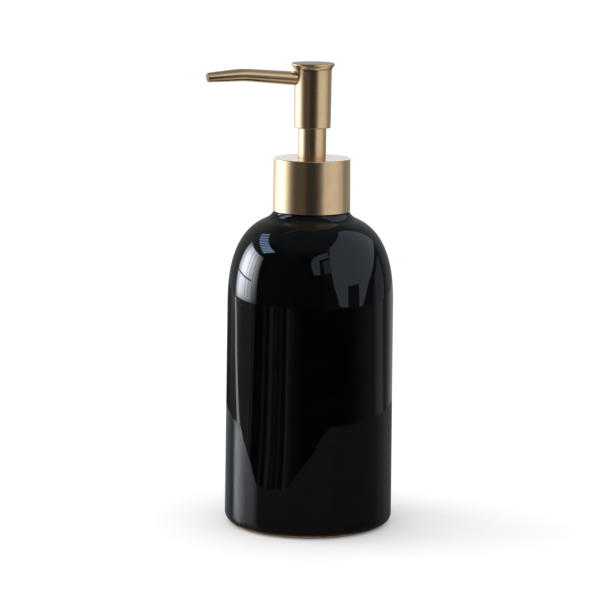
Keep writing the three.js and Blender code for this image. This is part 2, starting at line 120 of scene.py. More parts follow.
# Head
HEAD_RIM_RADIUS, HEAD_Z, HEAD_TOP_Z = span("head_shell")
HEAD_BASE_RADIUS = 8.1
HEAD_NECK_RADIUS = 8.27
HEAD_BORE = 7.3

# Spout: distances run from the bottle's axis towards the tip
SPOUT_AXIS_Z = 199.15
SPOUT_RISE = 0.0763
SPOUT_DROP = 0.0686
BEND_START, BEND_CORNER, BEND_END = 28.0, 31.6, 35.3
SPOUT_START = 5.3
SPOUT_REACH = 47.8
SPOUT_ROOT_RADIUS = 3.1


# --- Outlines: (radius, height) corners, or (radius, height, rounding) ---


def round_corner(before, corner, after, rounding):
    """An arc in place of a corner. A point beside each end keeps the flats flat in shading."""
    back, ahead = before - corner, after - corner
    bend = math.pi - back.angle(ahead)
    if bend < math.radians(4):
        return [corner]
    room = 0.4 * min(back.length, ahead.length)
    reach = min(rounding * math.tan(bend / 2), room)
    radius = reach / math.tan(bend / 2)
    back, ahead = back.normalized(), ahead.normalized()
    start, end = corner + back * reach, corner + ahead * reach
    centre = corner + (back + ahead).normalized() * radius / math.cos(bend / 2)
    first = math.atan2(*(start - centre).yx)
    sweep = (math.atan2(*(end - centre).yx) - first + math.pi) % TURN - math.pi
    steps = max(3, round(math.degrees(bend) / 15))
    angles = [first + sweep * i / steps for i in range(steps + 1)]
    curve = [centre + radius * Vector((math.cos(a), math.sin(a))) for a in angles]
    hold = min(radius, room) * 0.2
    return [start + back * hold, *curve, end + ahead * hold]


def rounded(corners, closed):
    """An outline's points, each corner rounded by its own third number."""
    places = [Vector(corner[:2]) for corner in corners]
    last = len(corners) - 1
    points = []
    for i, corner in enumerate(corners):
        rounding = corner[2] if len(corner) > 2 else 0
        if rounding and (closed or 0 < i < last):
            after = places[(i + 1) % len(places)]
            points += round_corner(places[i - 1], places[i], after, rounding)
        else:
            points.append(places[i])
    return points


def arc(centre, radius, start, end, steps):
    """Corners along an arc, with angles in degrees from the outward direction."""
    angles = [math.radians(start + (end - start) * i / steps) for i in range(steps + 1)]
    return [(centre[0] + radius * math.cos(a), centre[1] + radius * math.sin(a)) for a in angles]


def shoulder(core, radius, rise, until, steps):
    """Corners of a shoulder: a superellipse quarter, from its widest radius up to another."""
    width = radius - core
    last = math.acos(((until - core) / width) ** (SHOULDER_POWER / 2))
    power = 2 / SHOULDER_POWER
    angles = [last * i / steps for i in range(steps + 1)]
    return [
        (core + width * math.cos(a) ** power, BODY_TOP_Z + rise * math.sin(a) ** power)
        for a in angles
    ]


def bezier(start, corner, end, steps):
    """Points along a quadratic curve."""
    a, b, c = Vector(start), Vector(corner), Vector(end)
    shares = [i / steps for i in range(steps + 1)]
    return [a * (1 - t) ** 2 + b * 2 * t * (1 - t) + c * t * t for t in shares]


def tube_corners(inner, outer, bottom, top, rounding):
    """Corners of a plain ring."""
    corners = [(inner, bottom), (outer, bottom), (outer, top), (inner, top)]
    return [(*corner, rounding) for corner in corners]


# --- Meshes ---


def mesh_of(name, vertices, faces):
    """A smooth shaded mesh whose faces point out."""
    mesh = bpy.data.meshes.new(name)
    mesh.from_pydata(vertices, [], faces)
    built = bmesh.new()
    built.from_mesh(mesh)
    bmesh.ops.recalc_face_normals(built, faces=built.faces)
    built.to_mesh(mesh)
    built.free()
    mesh.shade_smooth()
    return mesh


def added(name, data):
    made = bpy.data.objects.new(name, data)
    bpy.context.scene.collection.objects.link(made)
    return made


def turned_mesh(name, outline, sides, closed):
    """A mesh turned about Z, in millimetres. An open outline starts and ends on the axis."""
    rings, vertices = [], []
    for radius, height in outline:
        if radius < 1e-6:
            rings.append([len(vertices)] * sides)
            vertices.append((0, 0, height))
            continue
        rings.append(range(len(vertices), len(vertices) + sides))
        for i in range(sides):
            angle = TURN * i / sides
            vertices.append((radius * math.cos(angle), radius * math.sin(angle), height))
    if closed:
        rings.append(rings[0])
    faces = []
    for lower, upper in zip(rings, rings[1:]):
        for i in range(sides):
            k = (i + 1) % sides
            faces.append(list(dict.fromkeys([lower[i], lower[k], upper[k], upper[i]])))
    return mesh_of(name, vertices, faces)


def scaled(made):
    """Takes a piece from millimetres to metres."""
    made.data.transform(Matrix.Scale(MM, 4))
    return made


def solid(name, corners, sides=MEDIUM):
    """A piece turned about Z from corners that start and end on the axis."""
    return scaled(added(name, turned_mesh(name, rounded(corners, False), sides, False)))


def ring(name, corners, sides=MEDIUM):
    """A piece turned about Z from corners that close on themselves."""
    return scaled(added(name, turned_mesh(name, rounded(corners, True), sides, True)))


def combine(made, operation, *tools):
    """Joins tools to a piece or cuts them out of it, and removes the tools."""
    for tool in tools:
        change = made.modifiers.new("change", "BOOLEAN")
        change.operation = operation
        change.solver = "EXACT"
        change.object = tool
        graph = bpy.context.evaluated_depsgraph_get()
        result = bpy.data.meshes.new_from_object(made.evaluated_get(graph))
        made.modifiers.clear()
        made.data = result
        bpy.data.objects.remove(tool)
    made.data.shade_smooth()
    made.data.set_sharp_from_angle(angle=math.radians(32))
    return made


def swept(name, points, radius, sides):
    """A round bar along points, with flat ends."""
    vertices, faces = [], []
    up = Vector((0, 0, 1))
    for i, point in enumerate(points):
        ahead = points[min(i + 1, len(points) - 1)] - points[max(i - 1, 0)]
        side = ahead.cross(up).normalized()
        rise = side.cross(ahead).normalized()
        for k in range(sides):
            angle = TURN * k / sides
            vertices.append(point + radius * (side * math.cos(angle) + rise * math.sin(angle)))
    for i in range(len(points) - 1):
        for k in range(sides):
            a, b = i * sides + k, i * sides + (k + 1) % sides
            faces.append((a, b, b + sides, a + sides))
    faces.append(range(sides))
    faces.append(range(len(vertices) - sides, len(vertices)))
    made = scaled(added(name, mesh_of(name, vertices, faces)))
    made.data.set_sharp_from_angle(angle=math.radians(50))
    return made


def thread(foot, crest, turns, foot_width, crest_width, start):
    """A right-hand thread ridge about Z, which fades out at both ends."""
    soft = 0.15
    section = [
        (foot, -foot_width / 2),
        (crest - soft, -crest_width / 2 - soft / 2),
        (crest, -crest_width / 2 + soft),
        (crest, crest_width / 2 - soft),
        (crest - soft, crest_width / 2 + soft / 2),
        (foot, foot_width / 2),
    ]
    count = len(section)
    steps = round(turns * 72)
    vertices, faces = [], []
    for i in range(steps + 1):
        along = i / steps
        end = min(1.0, min(along, 1 - along) / 0.12)
        fade = 0.08 + 0.92 * math.sin(end * math.pi / 2)
        angle = TURN * turns * along
        middle = start + THREAD_PITCH * turns * along
        for r, z in section:
            radius = foot + (r - foot) * fade
            height = middle + z * (0.4 + 0.6 * fade)
            vertices.append((radius * math.cos(angle), radius * math.sin(angle), height))
    for i in range(steps):
        for k in range(count):
            a, b = i * count + k, i * count + (k + 1) % count
            faces.append((a, a + count, b + count, b))
    faces.append(range(count))
    faces.append(range(steps * count, (steps + 1) * count))
    return scaled(added("thread", mesh_of("thread", vertices, faces)))


# --- Spout path, in the plane of the spout: x is the distance from the bottle's axis ---


def spout_point(distance):
    """A point of the two straight stretches of the centre line."""
    height = SPOUT_AXIS_Z + SPOUT_RISE * min(distance, BEND_CORNER)
    return Vector((distance, height - SPOUT_DROP * max(0.0, distance - BEND_CORNER)))


def spout_centre(distance):
    """Centre and direction of the spout: straight, bent, straight."""
    a, b, c = (spout_point(d) for d in (BEND_START, BEND_CORNER, BEND_END))
    if distance <= BEND_START:
        return spout_point(distance), (b - a).normalized()
    if distance >= BEND_END:
        return spout_point(distance), (c - b).normalized()
    curve, linear = a.x - 2 * b.x + c.x, 2 * (b.x - a.x)
    root = math.sqrt(linear * linear - 4 * curve * (a.x - distance))
    t = 2 * (distance - a.x) / (linear + root)
    centre = a * (1 - t) ** 2 + b * 2 * t * (1 - t) + c * t * t
    return centre, ((b - a) * (1 - t) + (c - b) * t).normalized()


def spout_radius(distance):
    """Outer radius: a slow taper, then a quicker one towards the tip."""
    slow_end, slow_radius, tip_radius = 33.0, 2.76, 2.1
    if distance <= slow_end:
        share = (slow_end - distance) / (slow_end - SPOUT_START)
        return slow_radius + (SPOUT_ROOT_RADIUS - slow_radius) * share
    share = min(1.0, (distance - slow_end) / (SPOUT_REACH - slow_end))
    return slow_radius - (slow_radius - tip_radius) * share**1.4


def bent_ring(name, corners, sides):
    """A ring whose outline's heights are distances along the spout."""
    made = added(name, turned_mesh(name, rounded(corners, True), sides, True))
    for vertex in made.data.vertices:
        across, level, distance = vertex.co
        centre, ahead = spout_centre(distance)
        place = centre + Vector((-ahead.y, ahead.x)) * across
        vertex.co = (-place.x, level, place.y)
    return scaled(made)


def drill(radius, start, end):
    """A round cutter along the spout's first straight stretch."""
    ends = [spout_point(start), spout_point(end)]
    points = [Vector((-p.x, 0, p.y)) for p in ends]
    return swept("drill", points, radius, SMALL)


# --- Materials ---


def add_node(tree, kind, inputs=None, **settings):
    """A shader node whose inputs are set to values or linked to sockets."""
    made = tree.nodes.new("ShaderNode" + kind)
    for key, value in settings.items():
        setattr(made, key, value)
    for key, value in (inputs or {}).items():
        if isinstance(value, bpy.types.NodeSocket):
            tree.links.new(value, made.inputs[key])
        else:
            made.inputs[key].default_value = value
    return made


class Finish:
    """A Principled material with short calls for the texture nodes it needs."""

    def __init__(self, name, **sockets):
        self.material = bpy.data.materials.new(name)
        self.material.use_nodes = True
        self.tree = self.material.node_tree
        self.shader = self.tree.nodes["Principled BSDF"]
        self.place = self.node("TexCoord").outputs["Object"]
        for key, value in sockets.items():
            self.shader.inputs[key.replace("_", " ")].default_value = value

    def node(self, kind, inputs=None, **settings):
        return add_node(self.tree, kind, inputs, **settings)

    def feed(self, socket, value):
        self.tree.links.new(value, self.shader.inputs[socket])

    def noise(self, size, detail=3.0, stretch=(1, 1, 1)):
        """Noise with features of about a size in millimetres, stretched along the axes."""
        scale = [1 / (size * MM * s) for s in stretch]
        place = self.node("Mapping", {"Vector": self.place, "Scale": scale})
        inputs = {"Vector": place.outputs[0], "Scale": 1.0, "Detail": detail}
        return self.node("TexNoise", inputs).outputs["Fac"]

    def grains(self, size):
        """Distance to the nearest of many points, as a share of their spacing in millimetres."""
        inputs = {"Vector": self.place, "Scale": 1 / (size * MM)}
        return self.node("TexVoronoi", inputs).outputs["Distance"]

    def spread(self, value, low, high, start=0.3, end=0.7):
        """Maps a texture's middle range to a range of values."""
        inputs = {"Value": value, "From Min": start, "From Max": end, "To Min": low, "To Max": high}
        return self.node("MapRange", inputs, interpolation_type="SMOOTHSTEP").outputs[0]

    def math(self, operation, *values):
        return self.node("Math", dict(enumerate(values)), operation=operation).outputs[0]

    def blend(self, share, first, second):
        """Mixes two colours or colour sockets."""
        colours = [c if isinstance(c, bpy.types.NodeSocket) else (*c, 1) for c in (first, second)]
        inputs = {0: share, 6: colours[0], 7: colours[1]}
        return self.node("Mix", inputs, data_type="RGBA").outputs[2]

    def height(self):
        """Height in millimetres above the table."""
        parts = self.node("SeparateXYZ", {0: self.place})
        return self.math("MULTIPLY", parts.outputs["Z"], 1 / MM)

    def bump(self, *layers):
        """Bump from (texture, depth in millimetres) layers, the first the coarsest."""
        normal = None
        for value, depth in layers:
            inputs = {"Height": value, "Strength": 1.0, "Distance": depth * MM}
            if normal:
                inputs["Normal"] = normal
            normal = self.node("Bump", inputs).outputs[0]
        self.feed("Normal", normal)


def black_glaze():
    """Mirror-black glaze with slow waves and pinholes, over a bare sandy foot ring."""
    look = Finish("black_glaze", IOR=1.5)
    waves = look.noise(22, 1.0)
    pores = look.spread(look.grains(3.1), 0.0, 1.0, 0.0, 0.06)
    tone = look.spread(look.noise(9), 0.0, 1.0)
    glaze = look.blend(tone, (0.0002, 0.0002, 0.0003), (0.0008, 0.0007, 0.0008))
    grit = look.noise(0.35, 4.0)
    clay = look.blend(look.spread(grit, 0.0, 1.0), (0.30, 0.21, 0.14), (0.50, 0.38, 0.27))
    edge = look.math("ADD", look.height(), look.spread(look.noise(2.5), -0.25, 0.25))
    bare = look.spread(edge, 1.0, 0.0, 0.95, 1.25)
    thin = look.spread(edge, 1.0, 0.0, 1.1, 2.6)
    worn = look.blend(thin, glaze, (0.045, 0.022, 0.012))
    look.feed("Base Color", look.blend(bare, worn, clay))
    smooth = look.spread(look.noise(13), 0.018, 0.045)
    look.feed("Roughness", look.math("ADD", smooth, look.math("MULTIPLY", bare, 0.75)))
    sand = look.math("MULTIPLY", grit, bare)
    look.bump((waves, 0.03), (pores, 0.008), (sand, 0.12))
    return look.material


def satin_gold():
    """Plated satin metal: fine blasted grain, slow tarnish and faint rub marks."""
    look = Finish("satin_gold", Metallic=1.0)
    tone = look.spread(look.noise(7), 0.0, 1.0)
    look.feed("Base Color", look.blend(tone, (0.775, 0.562, 0.335), (0.820, 0.600, 0.362)))
    rubs = look.noise(1.6, 3.0, (1, 1, 6))
    slow = look.spread(look.noise(11), -0.015, 0.015)
    look.feed("Roughness", look.math("ADD", look.spread(rubs, 0.185, 0.205), slow))
    grain = look.noise(0.3, 2.0)
    look.bump((look.noise(6, 1.0), 0.0015), (grain, 0.0001))
    return look.material


def white_plastic():
    """Moulded polypropylene: fine matt grain and slightly uneven tone."""
    look = Finish("white_plastic", IOR=1.49, Subsurface_Weight=0.12, Subsurface_Scale=0.002)
    tone = look.spread(look.noise(6), 0.0, 1.0)
    look.feed("Base Color", look.blend(tone, (0.80, 0.80, 0.78), (0.86, 0.86, 0.85)))
    look.feed("Roughness", look.spread(look.noise(2.2), 0.36, 0.46))
    look.bump((look.noise(3, 1.0), 0.01), (look.noise(0.25), 0.008))
    return look.material


def natural_plastic():
    """Milky polyethylene that lets some light through."""
    milky = {"Transmission_Weight": 0.3, "Subsurface_Weight": 0.2, "Subsurface_Scale": 0.003}
    look = Finish("natural_plastic", IOR=1.51, **milky)
    tone = look.spread(look.noise(5, 3.0, (1, 1, 4)), 0.0, 1.0)
    look.feed("Base Color", look.blend(tone, (0.72, 0.75, 0.73), (0.82, 0.84, 0.82)))
    look.feed("Roughness", look.spread(look.noise(1.5), 0.28, 0.40))
    look.bump((look.noise(2.5, 2.0, (1, 1, 8)), 0.012))
    return look.material


def steel():
    """Bright drawn steel wire and ground ball."""
    look = Finish("steel", Metallic=1.0)
    tone = look.spread(look.noise(0.8), 0.0, 1.0)
    look.feed("Base Color", look.blend(tone, (0.56, 0.57, 0.59), (0.66, 0.67, 0.69)))
    look.feed("Roughness", look.spread(look.noise(0.5), 0.16, 0.28))
    look.bump((look.noise(0.12), 0.003))
    return look.material


def dark_rubber():
    """Matt foam rubber with fine open cells."""
    look = Finish("dark_rubber", IOR=1.5)
    cells = look.grains(0.45)
    tone = look.spread(look.noise(4), 0.0, 1.0)
    look.feed("Base Color", look.blend(tone, (0.028, 0.028, 0.030), (0.045, 0.044, 0.045)))
    look.feed("Roughness", look.spread(cells, 0.95, 0.75))
    look.bump((look.noise(6, 1.0), 0.05), (cells, 0.08))
    return look.material


FINISHES = {
    make.__name__: make()
    for make in (black_glaze, satin_gold, white_plastic, natural_plastic, steel, dark_rubber)
}


# --- Bottle ---


def glazed_bottle():
    recess_radius = span("base_pad")[0] + GAP
    recess_z = span("base_pad")[2] + GAP
    base = arc((BASE_RADIUS - BASE_FILLET, FOOT_Z + BASE_FILLET), BASE_FILLET, -90, 0, 14)
    outside = shoulder(SHOULDER_CORE, BODY_RADIUS, SHOULDER_RISE, SWEEP_RADIUS, 44)
    inside = shoulder(MOUTH_RADIUS, INNER_RADIUS, INNER_RISE, MOUTH_RADIUS + 0.6, 24)
    floor = arc((INNER_RADIUS - INNER_FILLET, FLOOR_Z + INNER_FILLET), INNER_FILLET, 0, -90, 8)
    wall_rings = 12
    wall = [
        (BASE_RADIUS + (BODY_RADIUS - BASE_RADIUS) * i / wall_rings,
         base[-1][1] + (BODY_TOP_Z - base[-1][1]) * i / wall_rings)
        for i in range(1, wall_rings)
    ]
    corners = [
        (0, recess_z),
        (recess_radius, recess_z, 0.3),
        (recess_radius, FOOT_Z, 0.5),
        *base,
        *wall,
        *outside,
        *bezier(outside[-1], SWEEP_CORNER, LEDGE, 10)[1:-1],
        (*LEDGE, 0.35),
        (NECK_RADIUS, LEDGE[1], 0.15),
        (NECK_RADIUS, RIM_Z, 0.3),
        (MOUTH_RADIUS, RIM_Z, 0.5),
        *inside[::-1],
        *floor,
        (0, FLOOR_Z),
    ]
    return solid("glazed_bottle", corners, LARGE)


def foot_pad():
    """Foam pad with two shallow rings pressed into its underside."""
    radius, bottom, top = span("base_pad")
    depth, width = 0.35, 1.6
    grooves = []
    for middle in (12.0, 21.0):
        grooves += [
            (middle - width, bottom, 0.3),
            (middle - width / 2, bottom + depth, 0.3),
            (middle + width / 2, bottom + depth, 0.3),
            (middle + width, bottom, 0.3),
        ]
    edge = [(radius, bottom, 0.35), (radius, top, 0.2)]
    return solid("foot_pad", [(0, bottom), *grooves, *edge, (0, top)])


def screw_neck():
    """Plug, flange and threaded neck of the insert in the bottle's mouth."""
    flange_radius, bottom, top = span("neck_insert")
    bore, flange_height, rim = 11.9, 1.5, RIM_Z + GAP
    ridge_shape = {"turns": 1.75, "foot_width": 2.4, "crest_width": 0.9}
    corners = [
        (bore, bottom, 0.3),
        (MOUTH_RADIUS - GAP, bottom, 0.4),
        (MOUTH_RADIUS - GAP, rim, 0.1),
        (flange_radius, rim, 0.2),
        (flange_radius, rim + flange_height, 0.2),
        (THREAD_ROOT, rim + flange_height, 0.25),
        (THREAD_ROOT, top, 0.3),
        (bore, top, 0.2),
    ]
    tube = ring("screw_neck", corners)
    ridge = thread(THREAD_ROOT - 0.3, THREAD_CREST, **ridge_shape, start=rim + 4.6)
    return combine(tube, "UNION", ridge)


# --- Closure and collar ---


def screw_cap():
    """Plain closure under the collar, with a thread groove inside."""
    outer, bottom, top = span("closure")
    bore, top_wall, hole = THREAD_CREST + GAP, 2.2, STEM_HOLE + 0.2
    groove_shape = {"turns": 2, "foot_width": 2.6, "crest_width": 1.2}
    corners = [
        (bore, bottom, 0.3),
        (outer, bottom, 0.3),
        (outer, top, 0.6),
        (hole, top, 0.25),
        (hole, top - top_wall, 0.2),
        (bore, top - top_wall, 0.5),
    ]
    cap = ring("screw_cap", corners)
    groove = thread(bore - 0.5, bore + 0.8, **groove_shape, start=bottom + 3.4)
    return combine(cap, "DIFFERENCE", groove)


def gold_collar():
    """Drawn shell with a soft top edge and a rounded hole for the stem."""
    radius, bottom, top = span("collar_shell")
    wall, top_wall, top_radius = 0.85, 0.9, 17.0
    inner = top_radius - wall
    corners = [
        (inner, bottom, 0.2),
        (radius, bottom, 0.25),
        (top_radius, top, 0.45),
        (STEM_HOLE, top, 0.25),
        (STEM_HOLE, top - top_wall, 0.2),
        (inner, top - top_wall, 0.3),
    ]
    return ring("gold_collar", corners, LARGE)


def neck_seal():
    radius, bottom, top = span("neck_gasket")
    bore = 8.2
    return ring("neck_seal", tube_corners(bore, radius, bottom, top, 0.25))


# --- Pump ---

CHAMBER_RADIUS = 5.2
CHAMBER_FLOOR_Z = 107.2
GUIDE_SEAT_Z = 143.0
WIDE_BORE = 6.5


def pump_cylinder():
    """Flange, wide upper bore, chamber, ball seat and dip tube socket."""
    flange_radius, bottom, top = span("pump_housing")
    tube_radius, _, tube_top = span("dip_tube")
    socket = tube_radius + GAP / 2
    tail, barrel, bell = 4.2, 6.1, 7.2  # outer radii, from the tube up to the flange
    barrel_z, flange_z = 106, top - 1.5
    seat_radius, seat_z = 1.6, 104.4
    corners = [
        (socket, bottom, 0.15),
        (tail, bottom, 0.3),
        (tail, tube_top + 0.5, 0.6),
        (barrel, barrel_z, 0.8),
        (barrel, GUIDE_SEAT_Z - 2.4, 0.6),
        (bell, GUIDE_SEAT_Z - 1.1, 0.6),
        (bell, flange_z, 0.3),
        (flange_radius, flange_z, 0.2),
        (flange_radius, top, 0.2),
        (WIDE_BORE, top, 0.4),
        (WIDE_BORE, GUIDE_SEAT_Z, 0.15),
        (CHAMBER_RADIUS, GUIDE_SEAT_Z, 0.2),
        (CHAMBER_RADIUS, CHAMBER_FLOOR_Z, 0.15),
        (3.0, CHAMBER_FLOOR_Z - 0.2, 0.1),
        (seat_radius, seat_z, 0.2),
        (seat_radius, tube_top + GAP / 2, 0.1),
        (socket, tube_top + GAP / 2, 0.1),
    ]
    return ring("pump_cylinder", corners)


def guide_ring():
    """Guide of the stem, with a shallow snap bead outside."""
    radius, bottom, top = span("stem_guide")
    bore, middle = 4.3, (bottom + top) / 2
    bead_depth, bead_reach = 0.2, 0.6
    corners = [
        (bore, bottom, 0.3),
        (radius, bottom, 0.2),
        (radius, middle - bead_reach, 0.2),
        (radius + bead_depth, middle, 0.3),
        (radius, middle + bead_reach, 0.2),
        (radius, top, 0.2),
        (bore, top, 0.3),
    ]
    return ring("guide_ring", corners, SMALL)


def suction_tube():
    """Dip tube, its lower end cut slightly conical inside."""
    radius, bottom, top = span("dip_tube")
    bore = 2.1
    corners = [(bore + 0.3, bottom, 0.1), (radius, bottom, 0.15), (radius, top, 0.15)]
    return ring("suction_tube", [*corners, (bore, top, 0.1), (bore, bottom + 0.8, 0.2)], SMALL)


def valve_ball():
    radius, bottom, top = span("inlet_ball")
    outline = arc((0, (bottom + top) / 2), radius, -90, 90, 24)
    outline[0], outline[-1] = (0, bottom), (0, top)
    return solid("valve_ball", outline, 48)


def ball_basket():
    """Ring over the ball, crossed by two rounded bars that carry the spring."""
    radius, bottom, top = span("ball_cage")
    inner, bar_radius = 3.4, 0.48
    basket = ring("ball_basket", tube_corners(inner, radius, bottom, top, 0.25), SMALL)
    level = top - bar_radius - 0.01
    reach = inner + 0.5
    bars = []
    for direction in (Vector((1, 0, 0)), Vector((0, 1, 0))):
        ends = [direction * -reach, direction * reach]
        points = [end + Vector((0, 0, level)) for end in ends]
        bars.append(swept("bar", points, bar_radius, 16))
    return combine(basket, "UNION", *bars)


def coil_spring():
    """Compression spring with closed end turns."""
    radius, bottom, top = span("return_spring")
    wire, turns, steps = 0.4, 8, 48
    closed_pitch = 2 * wire + 0.15
    open_pitch = (top - bottom - 2 * wire - 2 * closed_pitch) / (turns - 2)
    points = []
    for i in range(turns * steps + 1):
        turn = i / steps
        opened = min(max(turn - 1, 0), turns - 2)
        height = bottom + wire + closed_pitch * (turn - opened) + open_pitch * opened
        angle = TURN * turn
        middle = radius - wire
        points.append(Vector((middle * math.cos(angle), middle * math.sin(angle), height)))
    return swept("coil_spring", points, wire, 12)


# --- Plunger ---


def plunger_rod():
    """Guide pin inside the spring, spring flange and core of the outlet valve."""
    radius, bottom, top = span("piston_rod")
    pin, pin_top, flange_height, core = 1.9, bottom + 5, 1, 2.1
    corners = [
        (0, bottom),
        (pin, bottom, 0.7),
        (pin, pin_top, 0.3),
        (radius, pin_top, 0.15),
        (radius, pin_top + flange_height, 0.2),
        (core, pin_top + flange_height, 0.3),
        (core, top, 0.4),
        (0, top),
    ]
    return solid("plunger_rod", corners, SMALL)


def sliding_piston():
    """Soft piston: two thin lips and a waist."""
    lip, bottom, top = span("piston")
    bore, waist = 2.4, 4.1
    edge, lip_height, skirt = lip - 0.35, 0.3, 1.7
    corners = [
        (bore, bottom, 0.2),
        (edge, bottom, 0.15),
        (lip, bottom + lip_height, 0.1),
        (waist, bottom + skirt, 0.4),
        (waist, top - skirt, 0.4),
        (lip, top - lip_height, 0.1),
        (edge, top, 0.15),
        (bore, top, 0.2),
    ]
    return ring("sliding_piston", corners, SMALL)


def hollow_stem():
    """Foot under the guide, slim length, thick length inside the sleeve, and spigot."""
    thick, bottom, top = span("stem")
    _, sleeve_bottom, sleeve_top = span("stem_sleeve")
    bore, slim, foot, foot_height = 2.5, 4.0, 4.8, 1.5
    corners = [
        (bore, bottom, 0.3),
        (foot, bottom, 0.2),
        (foot, bottom + foot_height, 0.2),
        (slim, bottom + foot_height, 0.3),
        (slim, sleeve_bottom, 0.3),
        (thick, sleeve_bottom, 0.2),
        (thick, sleeve_top, 0.2),
        (slim, sleeve_top, 0.2),
        (slim, top, 0.4),
        (bore, top, 0.2),
    ]
    return ring("hollow_stem", corners, SMALL)


def gold_sleeve():
    radius, bottom, top = span("stem_sleeve")
    bore = 5.7
    return ring("gold_sleeve", tube_corners(bore, radius, bottom, top, 0.2))


# --- Head ---

LINER_RADIUS = 1.15
SPOUT_HOLE = SPOUT_ROOT_RADIUS + 0.06


def head_insert():
    """Plastic core: stem socket below, channel above, spout socket at the side."""
    radius, bottom, top = span("head_core")
    socket, socket_top, channel, channel_top = 4.3, 187.3, 2.0, 201.0
    corners = [
        (0, channel_top),
        (channel, channel_top, 0.3),
        (channel, socket_top, 0.2),
        (socket, socket_top, 0.3),
        (socket, bottom, 0.3),
        (radius, bottom, 0.4),
        (radius, top, 0.3),
        (0, top),
    ]
    core = solid("head_insert", corners)
    past = radius + 2
    tunnel = drill(LINER_RADIUS + GAP / 2, 0, past)
    socket_bore = drill(SPOUT_HOLE, SPOUT_START - GAP, past)
    return combine(core, "DIFFERENCE", tunnel, socket_bore)


def gold_head():
    """Slightly tapered tube that flares to a rounded rim, with a hole for the spout."""
    lip_radius, lip_height = STEM_HOLE + 0.1, 0.8
    rim_round = 0.68
    flare_radius, flare_angle, flare_below = 3.13, 50, 3.6
    flare_centre = (HEAD_NECK_RADIUS + flare_radius, HEAD_TOP_Z - flare_below)
    rim_centre = (HEAD_RIM_RADIUS - rim_round, HEAD_TOP_Z - rim_round)
    recess_radius, recess_depth = span("head_cap")[0] + 0.06, 1.3
    corners = [
        (lip_radius, HEAD_Z, 0.2),
        (HEAD_BASE_RADIUS, HEAD_Z, 1.0),
        *arc(flare_centre, flare_radius, 180, 180 - flare_angle, 9),
        *arc(rim_centre, rim_round, -25, 90, 9),
        (recess_radius, HEAD_TOP_Z, 0.1),
        (recess_radius, HEAD_TOP_Z - recess_depth, 0.1),
        (HEAD_BORE, HEAD_TOP_Z - recess_depth, 0.2),
        (HEAD_BORE, HEAD_Z + lip_height, 0.3),
        (lip_radius, HEAD_Z + lip_height, 0.2),
    ]
    shell = ring("gold_head", corners, LARGE)
    return combine(shell, "DIFFERENCE", drill(SPOUT_HOLE, HEAD_BORE - 2, HEAD_BORE + 4))


def gold_cap():
    """Disc that closes the head, on a boss that plugs the shell."""
    radius, bottom, top = span("head_cap")
    boss, boss_height = HEAD_BORE - GAP, 1.6
    corners = [
        (0, bottom),
        (boss, bottom, 0.4),
        (boss, bottom + boss_height, 0.2),
        (radius, bottom + boss_height, 0.1),
        (radius, top, 0.14),
        (0, top),
    ]
    return solid("gold_cap", corners)


def gold_spout():
    """Bent tube that tapers to a rounded lip."""
    wall, lip = 0.6, 0.22
    stations = 56
    length = SPOUT_REACH - SPOUT_START
    places = [SPOUT_START + length * i / stations for i in range(stations + 1)]
    outer = [(spout_radius(d), d) for d in places]
    inner = [(radius - wall, d) for radius, d in reversed(outer)]
    corners = [outer[0], *outer[1:-1], (*outer[-1], lip), (*inner[0], lip), *inner[1:]]
    return bent_ring("gold_spout", corners, SMALL)


def spout_lining():
    """Plastic tube that carries the soap through the spout."""
    bore, start, end, stations = 0.75, 3.0, 47.0, 44
    places = [start + (end - start) * i / stations for i in range(stations + 1)]
    outer = [(LINER_RADIUS, d) for d in places]
    inner = [(bore, d) for d in reversed(places)]
    return bent_ring("spout_lining", [*outer, *inner], 32)


# --- Assembly ---

BODY_OF = {
    node: body
    for body, nodes in frame["record"]["behaviour"]["bodies"].items()
    for node in nodes
}
SLOT_OF = {part["node"]: part["material_slot"] for part in frame["record"]["subparts"]}

PIECES = {
    "bottle": glazed_bottle,
    "base_pad": foot_pad,
    "neck_insert": screw_neck,
    "closure": screw_cap,
    "collar_shell": gold_collar,
    "neck_gasket": neck_seal,
    "pump_housing": pump_cylinder,
    "stem_guide": guide_ring,
    "dip_tube": suction_tube,
    "inlet_ball": valve_ball,
    "ball_cage": ball_basket,
    "return_spring": coil_spring,
    "piston_rod": plunger_rod,
    "piston": sliding_piston,
    "stem": hollow_stem,
    "stem_sleeve": gold_sleeve,
    "head_core": head_insert,
    "head_shell": gold_head,
    "head_cap": gold_cap,
    "spout_tube": gold_spout,
    "spout_liner": spout_lining,
}


def assemble():
    """Makes each piece, which stands for its CAD node and rides on that node's body."""
    made = {}
    for node, make in PIECES.items():
        made[node] = make()
        made[node].data.materials.clear()
        made[node].data.materials.append(FINISHES[SLOT_OF[node]])
        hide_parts(node)
        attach(made[node], BODY_OF[node])
    return made


def fit_spring(spring):
    """Gives the spring a mesh of its own."""
    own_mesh(spring)


pieces = assemble()
fit_spring(pieces["return_spring"])


# --- Stage: azimuths are degrees round the bottle, from the camera to its right ---

CAMERA_AZIMUTH = -15.0
CAMERA_DISTANCE = 1.13497
CAMERA_HEIGHT = 0.29194
CAMERA_PITCH = 9.568
CAMERA_YAW = 0.233
CAMERA_ROLL = 0.65
CAMERA_LENS = 154.61
SIGHT_Z = 0.12  # height that elevations are taken from


